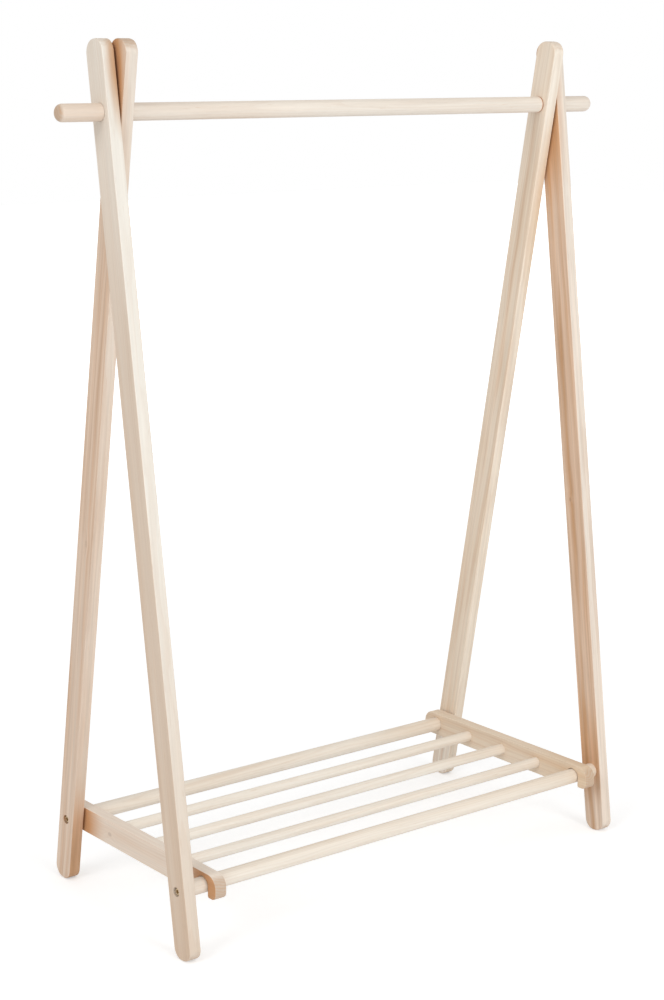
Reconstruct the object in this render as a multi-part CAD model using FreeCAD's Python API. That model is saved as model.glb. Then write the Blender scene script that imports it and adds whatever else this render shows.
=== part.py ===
import FreeCAD
import Part
import math
import os

# Folding children's clothes rack in solid pine.
# Two pairs of legs cross at a round hanging rail. A crossbar joins the feet of each pair,
# and a slatted shelf turns on the back crossbar and hooks over the front one, which locks
# the legs apart. Lifting the shelf off the front crossbar lets the two frames close.
# Millimetres. +X runs along the rail, -Y is the front, +Z is up.
# The origin lies on the floor, under the middle of the rail.

# Overall layout
frame_width = 788.0
rail_height = 1070.0
rail_overhang = 62.5
crossbar_height = 93.0
crossbar_spacing = 302.0
leg_top_reach = 87.5
leg_gap = 2.5

# Legs
leg_width = 36.0
leg_thickness = 18.0
leg_end_radius = 16.0
leg_edge_radius = 1.5

# Hanging rail
rail_diameter = 22.0
rail_end_radius = 8.0

# Crossbars
crossbar_diameter = 22.0

# Shelf
shelf_side_play = 3.0
shelf_end_height = 36.0
shelf_end_thickness = 18.0
shelf_end_wall = 16.0
shelf_end_corner_radius = 17.0
shelf_edge_radius = 1.2
hook_nose_depth = 18.5
hook_nose_lift = 3.5
hook_nose_radius = 9.0
hook_lip_radius = 3.0
hook_flank_angle = 36.0
shelf_dowel_diameter = 16.0
shelf_dowel_seat_depth = 12.0
shelf_dowel_names = ["back_shelf_dowel", "middle_shelf_dowel", "front_shelf_dowel"]

# Connector bolts, and the inserts that they screw into
bolt_head_diameter = 10.0
bolt_head_height = 6.0
bolt_head_chamfer = 0.8
bolt_socket_width = 5.0
bolt_socket_depth = 3.0
bolt_shank_diameter = 6.0
bolt_length = 30.0
counterbore_diameter = 13.0
counterbore_depth = 8.0
insert_diameter = 10.0
insert_length = 15.0
insert_barb_depth = 0.8
insert_barb_count = 3

# Clearances, each on the radius of a round fit
pivot_clearance = 0.3
hook_clearance = 0.8
glue_clearance = 0.05
bolt_clearance = 0.3
thread_clearance = 0.05
bolt_tip_room = 3.0
cut_overrun = 5.0

# Share of a rounded end that stays flat at the least
least_flat_share = 0.02

# Derived places
half_width = frame_width / 2
half_spacing = crossbar_spacing / 2
rail_radius = rail_diameter / 2
crossbar_radius = crossbar_diameter / 2
rail_half_length = half_width + rail_overhang
crossbar_drop = rail_height - crossbar_height
leg_tilt = math.atan2(half_spacing, crossbar_drop)
crossbar_reach = math.hypot(half_spacing, crossbar_drop)
front_leg_inner_x = half_width - leg_thickness
back_leg_outer_x = front_leg_inner_x - leg_gap
back_leg_inner_x = back_leg_outer_x - leg_thickness
shelf_outer_x = back_leg_inner_x - shelf_side_play
shelf_inner_x = shelf_outer_x - shelf_end_thickness

x_axis = FreeCAD.Vector(1, 0, 0)
sides = {"left": -1, "right": 1}


def round_bar(radius, start, length, y, z, direction=1):
    """Return a cylinder along X that starts at x = start."""
    base = FreeCAD.Vector(start, y, z)
    return Part.makeCylinder(radius, length, base, x_axis * direction)


def rounded_outline(corners, radii):
    """Return a polygon in the plane x = 0, given by its (y, z) corners, with each corner rounded."""
    points = [FreeCAD.Vector(0, y, z) for y, z in corners]
    arcs = []
    for index, point in enumerate(points):
        radius = radii[index]
        back = (points[index - 1] - point).normalize()
        ahead = (points[(index + 1) % len(points)] - point).normalize()
        half_angle = back.getAngle(ahead) / 2
        inset = radius / math.tan(half_angle)
        hub = point + (back + ahead).normalize() * (radius / math.sin(half_angle))
        middle = hub + (point - hub).normalize() * radius
        arcs.append((point + back * inset, middle, point + ahead * inset))
    edges = []
    for index, (start, middle, end) in enumerate(arcs):
        next_start = arcs[(index + 1) % len(arcs)][0]
        edges.append(Part.Arc(start, middle, end).toShape())
        edges.append(Part.makeLine(end, next_start))
    return Part.Face(Part.Wire(edges))


def eased(board, radius):
    """Round every edge that lies on the two flat sides of a board."""
    sides_x = [board.BoundBox.XMin, board.BoundBox.XMax]
    edges = []
    for edge in board.Edges:
        box = edge.BoundBox
        flat = box.XLength < radius / 2
        if flat and min(abs(box.Center.x - side) for side in sides_x) < radius / 2:
            edges.append(edge)
    return board.makeFillet(radius, edges)


def make_leg(side, pair):
    """Return one leg: an upright board, drilled, then tilted about the rail's axis."""
    half_leg = leg_width / 2
    end_radius = min(leg_end_radius, half_leg * (1 - least_flat_share))
    foot_offset = math.sin(leg_tilt) * (half_leg - end_radius)
    foot_reach = end_radius + (rail_height - end_radius - foot_offset) / math.cos(leg_tilt)
    foot_corners = [(-half_leg, -foot_reach), (half_leg, -foot_reach)]
    top_corners = [(half_leg, leg_top_reach), (-half_leg, leg_top_reach)]
    outline = rounded_outline(foot_corners + top_corners, [end_radius] * 4)
    outer_x = half_width if pair == "front" else back_leg_outer_x
    low_x = outer_x - leg_thickness if side > 0 else -outer_x
    outline.translate(FreeCAD.Vector(low_x, 0, 0))
    leg = eased(outline.extrude(x_axis * leg_thickness), leg_edge_radius)

    fit = pivot_clearance if pair == "front" else glue_clearance
    through = leg_thickness + 2 * cut_overrun
    rail_hole = round_bar(rail_radius + fit, low_x - cut_overrun, through, 0, 0)
    bolt_hole_radius = bolt_shank_diameter / 2 + bolt_clearance
    bolt_hole = round_bar(bolt_hole_radius, low_x - cut_overrun, through, 0, -crossbar_reach)
    recess_start = side * (outer_x + cut_overrun)
    recess_length = counterbore_depth + cut_overrun
    recess = round_bar(counterbore_diameter / 2, recess_start, recess_length, 0, -crossbar_reach, -side)
    leg = leg.cut([rail_hole, bolt_hole, recess])

    tilt = -leg_tilt if pair == "front" else leg_tilt
    leg.rotate(FreeCAD.Vector(0, 0, 0), x_axis, math.degrees(tilt))
    leg.translate(FreeCAD.Vector(0, 0, rail_height))
    return leg


def make_rail():
    """Return the hanging rail, turned about its axis, with rounded ends."""
    flat_radius = rail_radius - rail_end_radius
    shoulder = rail_half_length - rail_end_radius
    bulge = rail_end_radius * math.sqrt(0.5)
    points = []
    for end in (-1, 1):
        points.append([
            FreeCAD.Vector(end * rail_half_length, flat_radius, 0),
            FreeCAD.Vector(end * (shoulder + bulge), flat_radius + bulge, 0),
            FreeCAD.Vector(end * shoulder, rail_radius, 0),
        ])
    left, right = points
    edges = [
        Part.makeLine(FreeCAD.Vector(-rail_half_length, 0, 0), left[0]),
        Part.Arc(*left).toShape(),
        Part.makeLine(left[2], right[2]),
        Part.Arc(*reversed(right)).toShape(),
        Part.makeLine(right[0], FreeCAD.Vector(rail_half_length, 0, 0)),
        Part.makeLine(FreeCAD.Vector(rail_half_length, 0, 0), FreeCAD.Vector(-rail_half_length, 0, 0)),
    ]
    profile = Part.Face(Part.Wire(edges))
    rail = profile.revolve(FreeCAD.Vector(0, 0, 0), x_axis, 360)
    rail.translate(FreeCAD.Vector(0, 0, rail_height))
    return rail


def make_crossbar(half_length, y):
    """Return a crossbar that butts on its two legs, bored in each end for an insert and a bolt."""
    bar = round_bar(crossbar_radius, -half_length, 2 * half_length, y, crossbar_height)
    grip = bolt_length - (leg_thickness - counterbore_depth)
    holes = []
    for side in sides.values():
        start = side * half_length
        holes.append(round_bar(insert_diameter / 2, start, insert_length, y, crossbar_height, -side))
        tip_radius = bolt_shank_diameter / 2 + bolt_clearance
        holes.append(round_bar(tip_radius, start, grip + bolt_tip_room, y, crossbar_height, -side))
    return bar.cut(holes)


def make_shelf_end(side):
    """Return one end of the shelf, with a bore for the back crossbar and a hook for the front one."""
    half_height = shelf_end_height / 2
    bottom = crossbar_height - half_height
    top = crossbar_height + half_height
    back_y = half_spacing + crossbar_radius + shelf_end_wall
    nose_y = -half_spacing - crossbar_radius - hook_nose_depth
    nose_z = bottom + hook_nose_lift

    # The hook's front wall is upright. Its back flank slopes away, so that the crossbar can
    # leave backwards and down while the shelf swings up. Both run into the notch's round top.
    notch_radius = crossbar_radius + hook_clearance
    flank = math.radians(hook_flank_angle)
    wall_y = -half_spacing - notch_radius
    flank_y = -half_spacing + notch_radius * math.cos(flank)
    flank_z = crossbar_height + notch_radius * math.sin(flank)
    peak_z = flank_z + (flank_y - wall_y) / math.tan(flank)
    mouth_y = flank_y + (flank_z - bottom) * math.tan(flank)

    corner = min(shelf_end_corner_radius, half_height * (1 - least_flat_share))
    board_corners = [(nose_y, top), (back_y, top), (back_y, bottom)]
    hook_corners = [(mouth_y, bottom), (wall_y, peak_z), (wall_y, nose_z), (nose_y, nose_z)]
    hook_radii = [hook_lip_radius, notch_radius, hook_lip_radius, hook_nose_radius]
    outline = rounded_outline(board_corners + hook_corners, [corner] * 3 + hook_radii)
    low_x = shelf_inner_x if side > 0 else -shelf_outer_x
    outline.translate(FreeCAD.Vector(low_x, 0, 0))
    board = eased(outline.extrude(x_axis * shelf_end_thickness), shelf_edge_radius)

    bore_length = shelf_end_thickness + 2 * cut_overrun
    bore_radius = crossbar_radius + pivot_clearance
    holes = [round_bar(bore_radius, low_x - cut_overrun, bore_length, half_spacing, crossbar_height)]
    hole_radius = shelf_dowel_diameter / 2 + glue_clearance
    hole_length = shelf_dowel_seat_depth + cut_overrun
    for y in shelf_dowel_places():
        start = side * (shelf_inner_x - cut_overrun)
        holes.append(round_bar(hole_radius, start, hole_length, y, crossbar_height, side))
    return board.cut(holes)


def shelf_dowel_places():
    """Return the Y of each shelf dowel, evenly spaced between the crossbars, from back to front."""
    pitch = crossbar_spacing / (len(shelf_dowel_names) + 1)
    return [half_spacing - pitch * (index + 1) for index in range(len(shelf_dowel_names))]


def make_shelf_dowel(y):
    """Return a shelf dowel that reaches to the bottom of its blind hole at each end."""
    half_length = shelf_inner_x + shelf_dowel_seat_depth
    return round_bar(shelf_dowel_diameter / 2, -half_length, 2 * half_length, y, crossbar_height)


def make_bolt(side, outer_x, y):
    """Return a socket-head bolt that is seated in the recess of a leg's outer face."""
    seat_x = side * (outer_x - counterbore_depth)
    head_radius = bolt_head_diameter / 2
    head = round_bar(head_radius, seat_x, bolt_head_height, y, crossbar_height, side)
    head_x = seat_x + side * bolt_head_height
    rim = [edge for edge in head.Edges if abs(edge.BoundBox.Center.x - head_x) < bolt_head_chamfer / 2]
    head = head.makeChamfer(bolt_head_chamfer, rim)
    shank = round_bar(bolt_shank_diameter / 2, seat_x, bolt_length, y, crossbar_height, -side)

    corner_radius = bolt_socket_width / math.sqrt(3)
    corners = []
    for index in range(6):
        angle = math.radians(60 * index)
        corner_y = y + corner_radius * math.cos(angle)
        corner_z = crossbar_height + corner_radius * math.sin(angle)
        corners.append(FreeCAD.Vector(head_x - side * bolt_socket_depth, corner_y, corner_z))
    socket_face = Part.Face(Part.makePolygon(corners + corners[:1]))
    socket = socket_face.extrude(x_axis * side * (bolt_socket_depth + cut_overrun))
    return head.fuse(shank).removeSplitter().cut(socket)


def make_insert(side, mouth_x, y):
    """Return a barbed threaded insert, flush with the end of its crossbar."""
    outer_radius = insert_diameter / 2 - glue_clearance
    root_radius = outer_radius - insert_barb_depth
    bore_radius = bolt_shank_diameter / 2 + thread_clearance
    pitch = insert_length / insert_barb_count
    points = [(0, bore_radius)]
    for index in range(insert_barb_count):
        points.append((pitch * index, outer_radius))
        points.append((pitch * (index + 1), root_radius))
    points.append((insert_length, bore_radius))
    outline = []
    for depth, radius in points + points[:1]:
        outline.append(FreeCAD.Vector(side * (mouth_x - depth), y, crossbar_height + radius))
    profile = Part.Face(Part.makePolygon(outline))
    return profile.revolve(FreeCAD.Vector(0, y, crossbar_height), x_axis, 360)


def make_parts():
    """Return every piece of the rack by its name."""
    parts = {"hanging_rail": make_rail()}
    pairs = {
        "front": (half_width, front_leg_inner_x, -half_spacing),
        "back": (back_leg_outer_x, back_leg_inner_x, half_spacing),
    }
    for pair, (outer_x, inner_x, y) in pairs.items():
        parts[pair + "_crossbar"] = make_crossbar(inner_x, y)
        for name, side in sides.items():
            prefix = name + "_" + pair
            parts[prefix + "_leg"] = make_leg(side, pair)
            parts[prefix + "_bolt"] = make_bolt(side, outer_x, y)
            parts[prefix + "_insert"] = make_insert(side, inner_x, y)
    for name, side in sides.items():
        parts[name + "_shelf_end"] = make_shelf_end(side)
    for name, y in zip(shelf_dowel_names, shelf_dowel_places()):
        parts[name] = make_shelf_dowel(y)
    return parts


os.makedirs("parts", exist_ok=True)
for node, shape in make_parts().items():
    shape.exportStep("parts/" + node + ".step")
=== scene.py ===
"""Looks of the folding clothes rack: sanded pine, bronzed bolts, brass inserts, white studio.

Metres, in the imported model's frame: +X along the rail, -Y to the front, +Z up.
"""

import bpy
import math
from mathutils import Euler, Matrix, Vector


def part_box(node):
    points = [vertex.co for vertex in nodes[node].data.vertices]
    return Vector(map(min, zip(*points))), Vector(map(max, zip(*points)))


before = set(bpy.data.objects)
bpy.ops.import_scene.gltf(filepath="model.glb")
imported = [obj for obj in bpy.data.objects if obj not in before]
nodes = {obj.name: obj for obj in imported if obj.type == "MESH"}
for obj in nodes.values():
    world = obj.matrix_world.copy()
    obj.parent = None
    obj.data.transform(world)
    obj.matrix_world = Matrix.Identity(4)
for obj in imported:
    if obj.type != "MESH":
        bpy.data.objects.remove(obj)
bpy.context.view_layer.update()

along_x, along_y, along_z = Vector((1, 0, 0)), Vector((0, 1, 0)), Vector((0, 0, 1))


# Node trees

def feed(tree, node, values):
    """Set or link the inputs of a node by name or number."""
    for key, value in values.items():
        if isinstance(value, bpy.types.NodeSocket):
            tree.links.new(value, node.inputs[key])
        else:
            node.inputs[key].default_value = value


def add(tree, kind, values=None, **settings):
    """Add a node, set its options, and set or link its inputs."""
    made = tree.nodes.new(kind)
    for key, value in settings.items():
        setattr(made, key, value)
    feed(tree, made, values or {})
    return made


def maths(tree, operation, *values, clamp=False):
    """Add a Math node and return its result."""
    inputs = dict(enumerate(values))
    return add(tree, "ShaderNodeMath", inputs, operation=operation, use_clamp=clamp).outputs[0]


def ramp(tree, value, low, high, to_low=0.0, to_high=1.0):
    """Map a value smoothly from one range to another."""
    values = {
        "Value": value, "From Min": low, "From Max": high, "To Min": to_low, "To Max": to_high,
    }
    return add(tree, "ShaderNodeMapRange", values, interpolation_type="SMOOTHSTEP").outputs[0]


def mixed(tree, factor, first, second, blend="MIX"):
    """Mix two colours and return the result."""
    values = {0: factor, 6: first, 7: second}
    return add(tree, "ShaderNodeMix", values, data_type="RGBA", blend_type=blend).outputs[2]


def between(tree, factor, first, second):
    """Mix two numbers and return the result."""
    return add(tree, "ShaderNodeMix", {0: factor, 2: first, 3: second}).outputs[0]


def noise(tree, place, scale, stretch, detail=2.0, roughness=0.5, shift=0.0):
    """Return a noise of 0 to 1 that is drawn out along the grain, which is the local X."""
    values = {"Vector": place, "Location": (shift, shift, shift), "Scale": (1 / stretch, 1.0, 1.0)}
    drawn = add(tree, "ShaderNodeMapping", values).outputs[0]
    values = {"Vector": drawn, "Scale": scale, "Detail": detail, "Roughness": roughness}
    return add(tree, "ShaderNodeTexNoise", values).outputs[0]


def swing(tree, wave, depth, base):
    """Let a noise move a value up and down by its distance from the noise's middle."""
    return maths(tree, "MULTIPLY_ADD", maths(tree, "SUBTRACT", wave, 0.5), depth, base)


def distance(tree, place, centre, size):
    """Return how far a place lies from a centre, in shares of a size along each axis."""
    values = {"Vector": place, "Location": centre, "Scale": size}
    near = add(tree, "ShaderNodeMapping", values, vector_type="TEXTURE").outputs[0]
    return add(tree, "ShaderNodeVectorMath", {0: near}, operation="LENGTH").outputs["Value"]


def facing(tree, normal, axis):
    """Return how squarely a face looks along an axis, either way: 1 is square to it."""
    turned = add(tree, "ShaderNodeVectorMath", {0: normal, 1: axis}, operation="DOT_PRODUCT")
    return maths(tree, "ABSOLUTE", turned.outputs["Value"])


def new_material(name):
    """Make a material and return it with its node tree and its shader."""
    material = bpy.data.materials.new(name)
    material.use_nodes = True
    return material, material.node_tree, material.node_tree.nodes["Principled BSDF"]


def colour(red, green, blue):
    """Turn an sRGB colour of 0 to 255 into the linear colour that a socket takes."""
    linear = []
    for value in (red, green, blue):
        share = value / 255
        linear.append(share / 12.92 if share <= 0.04045 else ((share + 0.055) / 1.055) ** 2.4)
    return (*linear, 1.0)


# Pine

SAPWOOD = colour(239, 233, 223)
HEARTWOOD = colour(207, 157, 113)
GREY_HEART = colour(198, 156, 114)
YELLOW_HEART = colour(205, 163, 106)
LATEWOOD = colour(188, 138, 90)
# The deepest brown, reached where the share of heartwood passes 0.8: painted shade in crevices and
# at joints, and the darkest resinous wood
RESIN_AND_SHADE = colour(152, 104, 78)
END_GRAIN = colour(192, 168, 146)
KNOT = colour(112, 78, 56)

# Noises: how fine each one is, and how far it is drawn out along the board
WANDER = {"scale": 22.0, "stretch": 9.0, "detail": 3.0}
YEARS = {"scale": 60.0, "stretch": 1.0}
FIBRES = {"scale": 1500.0, "stretch": 60.0}
STREAKS = {"scale": 210.0, "stretch": 50.0, "detail": 3.0, "roughness": 0.6}
TONES = {"scale": 60.0, "stretch": 14.0}
RESIN_DUCTS = {"scale": 800.0, "stretch": 22.0, "detail": 1.0}

# Logs: how far apart two seeds lie, the pith's slopes and wander, and a year's growth
SEED_STEP = 3.1
PITH_SLOPES = (0.004, 0.005)
PITH_WANDER = 0.028
RING_WIDTH = 0.0036

# Ramps: where each one starts and stops, and for some the values there
LATE_START = (0.25, 0.85)
LATE_STOP = (1.0, 0.88)
BROAD_BAND = (0.40, 0.68)
BAND_BY_TONE = (0.3, 0.7, 0.35, 1.5)
BROAD_FACE = (0.45, 0.9)
END_FACE = (0.25, 0.85)
RESIN_AND_SHADE_SHARE = (0.8, 1.8)
RESIN_DUCT = (0.70, 0.80, 0.0, 0.25)
STAIN_AND_SHADE_FADE = (1.0, 0.1)

# Depths of the marks, and the length of leg over which heartwood drifts
LATE_DEPTH = 0.16
EDGE_BAND_SHARE = 0.4
TONE_DEPTH = 0.3
STREAK_DEPTH, STREAK_PER_BAND = 0.1, 0.9
FIBRE_DEPTH = 0.10
END_RING_DEPTH = 0.45
DRIFT_LENGTH = 0.55

# Knots: stretch along the board, reach through it, and in sizes of the knot, its core and the
# bulge of the rings round it
KNOT_STRETCH = 1.6
KNOT_THROUGH = 100.0
KNOT_CORE = 0.55
BULGE_REACH, BULGE_HEIGHT = 4, 1.5

# Surface of the wood
FIBRE_ROUGHNESS, LEAST_ROUGHNESS = 0.2, 0.5
FIBRE_HEIGHT = 0.5
PINE_SPECULAR = 0.3
BUMP_STRENGTH, BUMP_DISTANCE = 0.2, 0.0002


def pine(name, centre, grain, across, pith, seed, sides, drift=(0.0, 0.0), warm=(), bands=0.1,
         value=1.0, ends=0.3, knot=None, stain_and_shade=None, heart=HEARTWOOD):
    """Make the pine of one piece, cut from its own place in a log.

    grain and across are the piece's own axes, and pith is where the log's heart runs beside it.
    sides is the share of heartwood on the edges and on the broad faces, and drift is how much it
    grows from the middle of a leg to its low end. Each item of warm is a stretch of the length
    and the heartwood tone that it adds to edges and to faces; on some pieces that tone is
    painted shade and painted warm bounce light near a joint. bands is the depth of the broad
    growth bands and of the streaks, value is the board's own lightness, and ends is how far the
    end grain darkens. knot is a place on the board, a size and a depth of tone. stain is a place,
    a size along each axis and the heartwood tone that it adds: a stained patch on some pieces,
    and painted shade in a crevice or at a joint on others. heart is the heartwood's colour.
    """
    material, tree, shader = new_material(name)
    grain, across = grain.normalized(), across.normalized()
    through = grain.cross(across)
    axes = Matrix((grain, across, through)).transposed()
    place = add(tree, "ShaderNodeTexCoord")
    normal = place.outputs["Normal"]
    values = {"Vector": place.outputs["Object"], "Location": centre, "Rotation": axes.to_euler()}
    board = add(tree, "ShaderNodeMapping", values, vector_type="TEXTURE").outputs[0]
    length = add(tree, "ShaderNodeSeparateXYZ", {0: board}).outputs[0]

    # Growth rings round the pith, which wanders a little along the board
    slopes = (PITH_SLOPES[0] * math.sin(seed * 5), PITH_SLOPES[1] * math.cos(seed * 3))
    values = {
        "Vector": board,
        "Location": (seed * SEED_STEP, -pith[0], -pith[1]),
        "Rotation": (0.0, *slopes),
    }
    log = add(tree, "ShaderNodeMapping", values).outputs[0]
    parts = add(tree, "ShaderNodeSeparateXYZ", {0: log}).outputs
    squares = [maths(tree, "POWER", part, 2.0) for part in (parts[1], parts[2])]
    radius = maths(tree, "SQRT", maths(tree, "ADD", *squares))
    grown = swing(tree, noise(tree, log, **WANDER), PITH_WANDER, radius)
    if knot:
        spot, size, depth = knot
        away = distance(tree, board, (*spot, 0.0), (KNOT_STRETCH, 1.0, KNOT_THROUGH))
        bulge = ramp(tree, away, size * BULGE_REACH, 0.0)
        grown = maths(tree, "MULTIPLY_ADD", bulge, size * BULGE_HEIGHT, grown)
        core = maths(tree, "MULTIPLY", ramp(tree, away, size, size * KNOT_CORE), depth)
    cycle = maths(tree, "FRACT", maths(tree, "DIVIDE", grown, RING_WIDTH))
    late = maths(tree, "MULTIPLY", ramp(tree, cycle, *LATE_START), ramp(tree, cycle, *LATE_STOP))
    year = noise(tree, grown, shift=seed, **YEARS)

    # Fibres, streaks, slow changes of tone along the board, and resin ducts
    fibre = noise(tree, log, shift=seed, **FIBRES)
    streak = noise(tree, log, shift=seed * 2, **STREAKS)
    tone = noise(tree, log, shift=seed * 3, **TONES)
    resin = noise(tree, log, shift=seed * 4, **RESIN_DUCTS)

    # Heartwood, by face and along the board, with painted shade and bounce light near some joints
    broad = ramp(tree, facing(tree, normal, through), *BROAD_FACE)
    low_end = maths(tree, "DIVIDE", length, -DRIFT_LENGTH)
    shares = [maths(tree, "MULTIPLY_ADD", low_end, drift[side], sides[side]) for side in (0, 1)]
    share = between(tree, broad, *shares)
    for start, stop, on_edge, on_face in warm:
        reach = between(tree, broad, on_edge, on_face)
        share = maths(tree, "MULTIPLY_ADD", ramp(tree, length, start, stop), reach, share)
    share = swing(tree, tone, TONE_DEPTH, share)
    # A patch of heartwood tone: a stained patch on some pieces, painted shade in a crevice or at a
    # joint on others
    if stain_and_shade:
        spot, size, depth = stain_and_shade
        spread = ramp(tree, distance(tree, board, spot, size), *STAIN_AND_SHADE_FADE)
        share = maths(tree, "MULTIPLY_ADD", spread, depth, share)
    wood = mixed(tree, maths(tree, "MAXIMUM", share, 0.0), SAPWOOD, heart)
    # Past a share of 0.8 the wood turns deep brown; where the warm items and stains push it there,
    # this is painted shade
    wood = mixed(tree, ramp(tree, share, *RESIN_AND_SHADE_SHARE), wood, RESIN_AND_SHADE)

    # Growth bands, rings, resin ducts, knot, streaks and fibres
    band = maths(tree, "MULTIPLY", ramp(tree, year, *BROAD_BAND), ramp(tree, tone, *BAND_BY_TONE))
    by_face = ramp(tree, broad, 0.0, 1.0, EDGE_BAND_SHARE * bands, bands)
    band = maths(tree, "MULTIPLY", band, by_face)
    ring = maths(tree, "MULTIPLY", year, LATE_DEPTH)
    lines = maths(tree, "MULTIPLY_ADD", late, ring, band, clamp=True)
    wood = mixed(tree, lines, wood, LATEWOOD)
    wood = mixed(tree, ramp(tree, resin, *RESIN_DUCT), wood, LATEWOOD)
    if knot:
        wood = mixed(tree, core, wood, KNOT)
    shade = swing(tree, streak, STREAK_DEPTH + STREAK_PER_BAND * bands, value)
    shade = swing(tree, fibre, FIBRE_DEPTH, shade)
    wood = mixed(tree, 1.0, wood, shade, "MULTIPLY")

    # End grain takes up more light and colour
    end = ramp(tree, facing(tree, normal, grain), *END_FACE)
    rings = mixed(tree, maths(tree, "MULTIPLY", late, END_RING_DEPTH), END_GRAIN, LATEWOOD)
    wood = mixed(tree, maths(tree, "MULTIPLY", end, ends), wood, rings)

    values = {
        "Height": maths(tree, "MULTIPLY_ADD", fibre, FIBRE_HEIGHT, late),
        "Strength": BUMP_STRENGTH,
        "Distance": BUMP_DISTANCE,
    }
    feed(tree, shader, {
        "Base Color": wood,
        "Roughness": maths(tree, "MULTIPLY_ADD", fibre, FIBRE_ROUGHNESS, LEAST_ROUGHNESS),
        "Specular IOR Level": PINE_SPECULAR,
        "Normal": add(tree, "ShaderNodeBump", values).outputs[0],
    })
    return material


# Metal

PATINA = {"stretch": 1.0, "detail": 4.0, "roughness": 0.6}
PATINA_EDGE = (0.3, 0.7)
PATINA_ROUGHNESS = 0.15


def metal(name, bright, dark, roughness, scale):
    """Make a plated metal with a patchy patina."""
    material, tree, shader = new_material(name)
    place = add(tree, "ShaderNodeTexCoord").outputs["Object"]
    patina = noise(tree, place, scale, **PATINA)
    dull = roughness + PATINA_ROUGHNESS
    feed(tree, shader, {
        "Base Color": mixed(tree, ramp(tree, patina, *PATINA_EDGE), dark, bright),
        "Roughness": ramp(tree, patina, *PATINA_EDGE, dull, roughness),
        "Metallic": 1.0,
    })
    return material


# Pieces

def middle(node):
    """Return the middle of a node's box."""
    low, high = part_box(node)
    return (low + high) / 2


def dress(node, material):
    """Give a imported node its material."""
    nodes[node].data.materials.clear()
    nodes[node].data.materials.append(material)


# The legs' slope: half the distance between the crossbars, and their drop below the rail
crossbar_reach, crossbar_drop = 0.151, 0.977
leg_tilt = math.atan2(crossbar_reach, crossbar_drop)

# How each board was cut, in the terms of pine(), with painted shade near the crossings
legs = {
    "left_front_leg": {
        "pith": (0.095, 0.015), "seed": 1.0, "sides": (0.04, 0.44), "drift": (0.3, 0.1),
        "warm": [(0.2, 0.5, 0.1, -0.2)], "bands": 0.06, "value": 0.985, "heart": GREY_HEART,
        "stain_and_shade": ((0.55, -0.018, -0.009), (0.12, 0.02, 0.019), 1.1),
    },
    "left_back_leg": {
        "pith": (-0.085, 0.02), "seed": 2.0, "sides": (0.34, 0.48), "drift": (0.14, -0.04),
        "warm": [(-0.40, -0.52, 0.42, 0.0)], "bands": 0.4, "value": 0.985, "ends": 0.7,
        # Painted shade, with a darker wood tone: a dark brown patch on the broad face near the
        # top, where the legs cross
        "stain_and_shade": ((0.50, 0.010, 0.009), (0.12, 0.034, 0.018), 1.8),
        "knot": ((-0.070, -0.0034), 0.004, 0.1),
    },
    "right_front_leg": {
        "pith": (0.075, -0.01), "seed": 3.0, "sides": (0.20, 0.62), "drift": (0.06, 0.0),
        "warm": [(-0.36, -0.46, 0.0, 0.2), (-0.48, -0.56, 0.0, -0.45)], "bands": 0.6,
        # Painted shade: a darker tone on the inner face near the top, below the crossing
        "stain_and_shade": ((0.48, 0.0, 0.009), (0.14, 0.08, 0.016), 0.4),
        "knot": ((-0.077, 0.0067), 0.0026, 0.25),
    },
    "right_back_leg": {
        "pith": (-0.110, 0.01), "seed": 4.0, "sides": (0.24, 0.32), "drift": (0.08, 0.04),
        "warm": [(-0.46, -0.52, 0.0, -0.3)], "bands": 0.36, "value": 1.07, "heart": YELLOW_HEART,
        # Painted shade: a darker tone along the front edge near the top, by the crossing
        "stain_and_shade": ((0.36, -0.018, -0.009), (0.22, 0.02, 0.026), 0.36),
    },
}
for name, cut in legs.items():
    lean = leg_tilt if "front" in name else -leg_tilt
    grain = Vector((0, math.sin(lean), math.cos(lean)))
    across = grain.cross(along_x)
    dress(name, pine(name + "_pine", middle(name), grain, across, **cut))

# Painted shadow: a dark ring on the rail where it enters the right back leg, for the hole's gap
rail_entry = 0.3555
rail_cut = {
    # On the outer end of the rail's stub, the strong end-grain darkening is partly real end grain
    # and partly painted shade
    "bands": 0.2, "ends": 0.85, "warm": [(-0.385, -0.40, 0.22, 0.22)],
    "stain_and_shade": ((rail_entry, 0.0, 0.0), (0.0028, 0.1, 0.1), 1.6),
}
bar_cut = {
    # The warm item paints warm bounce light and shade on the right parts of the bars, near the
    # right shelf end
    "bands": 0.1, "ends": 0.85, "warm": [(0.12, 0.36, 0.16, 0.16)], "value": 1.04,
    "heart": YELLOW_HEART,
}

# Each bar: the pith's place beside it, a seed, its share of heartwood, and its cut
bars = {
    "hanging_rail": ((0.050, -0.040), 5.0, 0.12, rail_cut),
    "front_crossbar": ((-0.055, -0.035), 6.0, 0.14, bar_cut),
    "back_crossbar": ((0.040, -0.060), 7.0, 0.13, bar_cut),
    "front_shelf_dowel": ((0.050, 0.030), 8.0, 0.02, bar_cut),
    "middle_shelf_dowel": ((-0.050, -0.040), 9.0, 0.05, bar_cut),
    "back_shelf_dowel": ((0.030, -0.060), 10.0, 0.06, bar_cut),
}
for name, (pith, seed, share, cut) in bars.items():
    sides = (share, share)
    dress(name, pine(name + "_pine", middle(name), along_x, along_y, pith, seed, sides, **cut))

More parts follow.
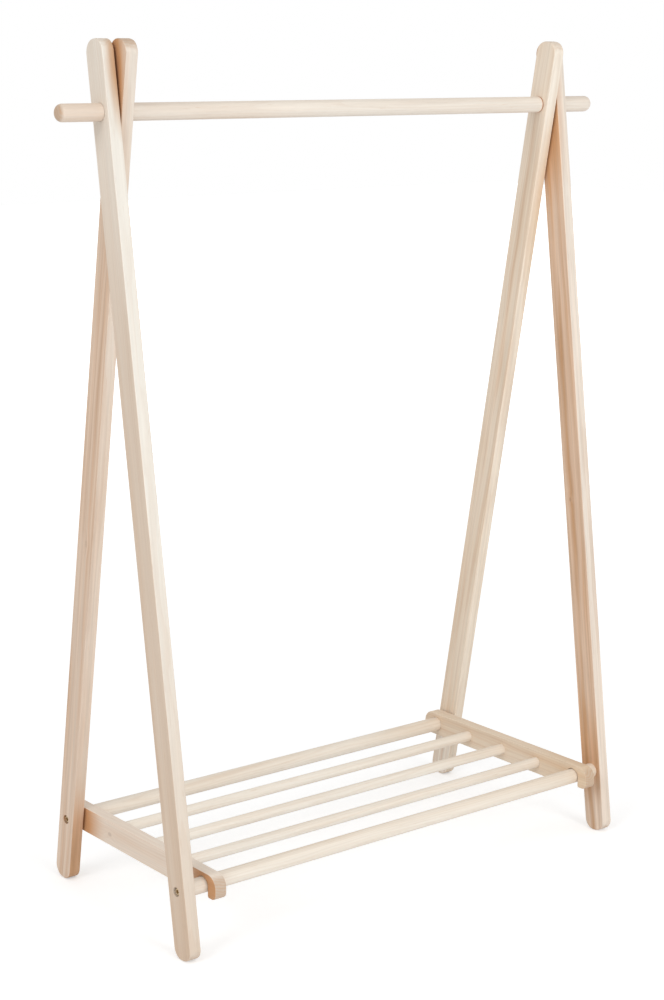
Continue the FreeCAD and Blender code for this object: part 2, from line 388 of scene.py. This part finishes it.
shelf_ends = {
    "left_shelf_end": {
        "pith": (0.070, 0.020), "seed": 11.0, "sides": (0.20, 0.29), "value": 1.03,
        # The two warm items are painted shade with warm bounce light on the broad faces at both
        # ends: at the hook's nose beside the left front leg, and at the back beside the left back
        # leg
        "warm": [(-0.09, -0.15, 0.0, 0.7), (0.08, 0.14, 0.0, 0.8)], "bands": 0.12, "ends": 0.75,
        "knot": ((0.071, -0.0015), 0.0036, 0.22),
    },
    "right_shelf_end": {
        "pith": (0.080, -0.015), "seed": 12.0, "sides": (0.40, 0.37), "value": 1.06,
        "warm": [(-0.02, -0.15, 0.1, 0.15)], "bands": 0.2, "ends": 0.75, "heart": YELLOW_HEART,
    },
}
for name, cut in shelf_ends.items():
    dress(name, pine(name + "_pine", middle(name), along_y, along_z, **cut))

bronze = metal("bronzed_steel", bright=colour(226, 205, 170), dark=colour(166, 140, 104),
               roughness=0.34, scale=900.0)
brass = metal("plain_brass", bright=colour(222, 186, 112), dark=colour(178, 138, 74),
              roughness=0.28, scale=700.0)
for name in nodes:
    if name.endswith("_bolt"):
        dress(name, bronze)
    elif name.endswith("_insert"):
        dress(name, brass)


# Studio: white floor and surround, a soft key lamp at the front and a soft fill from the left

# FLOOR_GLOW is two distances from the rack, and the strengths of the floor's glow there
FLOOR_REACH = 12.0
FLOOR_BASE = (0.85, 0.87, 0.895, 1.0)
FLOOR_ROUGHNESS = 0.9
FLOOR_GLOW = (0.5, 5.0, 0.345, 0.76)
AMBIENT = {"Color": (0.985, 0.965, 0.935, 1.0), "Strength": 0.67}
WHITE = {"Color": (1.0, 1.0, 1.0, 1.0), "Strength": 1.0}


def seen(tree):
    """Return 1 for camera, mirror and glass rays, which see the white surround, and else 0."""
    path = add(tree, "ShaderNodeLightPath").outputs
    rays = maths(tree, "MAXIMUM", path["Is Camera Ray"], path["Is Glossy Ray"])
    return maths(tree, "MAXIMUM", rays, path["Is Transmission Ray"])


floor_mesh = bpy.data.meshes.new("floor")
corners = [(x * FLOOR_REACH, y * FLOOR_REACH, 0) for x, y in ((-1, -1), (1, -1), (1, 1), (-1, 1))]
floor_mesh.from_pydata(corners, [], [(0, 1, 2, 3)])
floor = bpy.data.objects.new("floor", floor_mesh)
bpy.context.scene.collection.objects.link(floor)

# The floor's glow is weaker near the rack, where the floor is lit and takes its shadow
floor_white, tree, shader = new_material("floor_white")
feed(tree, shader, {"Base Color": FLOOR_BASE, "Roughness": FLOOR_ROUGHNESS})
place = add(tree, "ShaderNodeTexCoord").outputs["Object"]
away = add(tree, "ShaderNodeVectorMath", {0: place}, operation="LENGTH").outputs["Value"]
strength = maths(tree, "MULTIPLY", seen(tree), ramp(tree, away, *FLOOR_GLOW))
glow = add(tree, "ShaderNodeEmission", {"Strength": strength})
lit = add(tree, "ShaderNodeAddShader", {0: shader.outputs[0], 1: glow.outputs[0]})
feed(tree, tree.nodes["Material Output"], {"Surface": lit.outputs[0]})
floor_mesh.materials.append(floor_white)

world = bpy.data.worlds.new("studio")
bpy.context.scene.world = world
world.use_nodes = True
tree = world.node_tree
ambient = add(tree, "ShaderNodeBackground", AMBIENT)
white = add(tree, "ShaderNodeBackground", WHITE)
values = {0: seen(tree), 1: ambient.outputs[0], 2: white.outputs[0]}
surround = add(tree, "ShaderNodeMixShader", values)
feed(tree, tree.nodes["World Output"], {"Surface": surround.outputs[0]})


def soft_lamp(name, place, target, size, power, tint):
    """Hang a soft lamp that looks at a target."""
    data = bpy.data.lights.new(name, "AREA")
    data.shape = "RECTANGLE"
    data.size, data.size_y = size
    data.energy = power
    data.color = tint
    lamp = bpy.data.objects.new(name, data)
    lamp.location = place
    lamp.rotation_euler = (Vector(target) - Vector(place)).to_track_quat("-Z", "Y").to_euler()
    bpy.context.scene.collection.objects.link(lamp)


soft_lamp("key", place=(0.0, -3.9, 1.6), target=(0.0, 0.0, 0.6), size=(1.5, 2.0), power=50.0,
          tint=(0.97, 0.99, 1.0))
soft_lamp("fill", place=(-8.0, -1.5, 5.2), target=(0.0, 0.0, 0.7), size=(4.0, 4.0), power=180.0,
          tint=(1.0, 0.99, 0.98))

# Camera, as the photograph was taken
azimuth, elevation = math.radians(-36.4283), math.radians(15.8933)
camera_data = bpy.data.cameras.new("camera")
camera_data.lens = 71.0097
camera_data.sensor_width = 36.0
camera_data.shift_x = 0.1066
camera_data.shift_y = 0.1221
camera = bpy.data.objects.new("camera", camera_data)
camera.location = (-1.747359, -2.092197, 1.130870)
camera.rotation_euler = Euler((math.pi / 2 - elevation, 0.0, azimuth))
bpy.context.scene.collection.objects.link(camera)
bpy.context.scene.camera = camera
bpy.context.scene.view_settings.view_transform = "Standard"
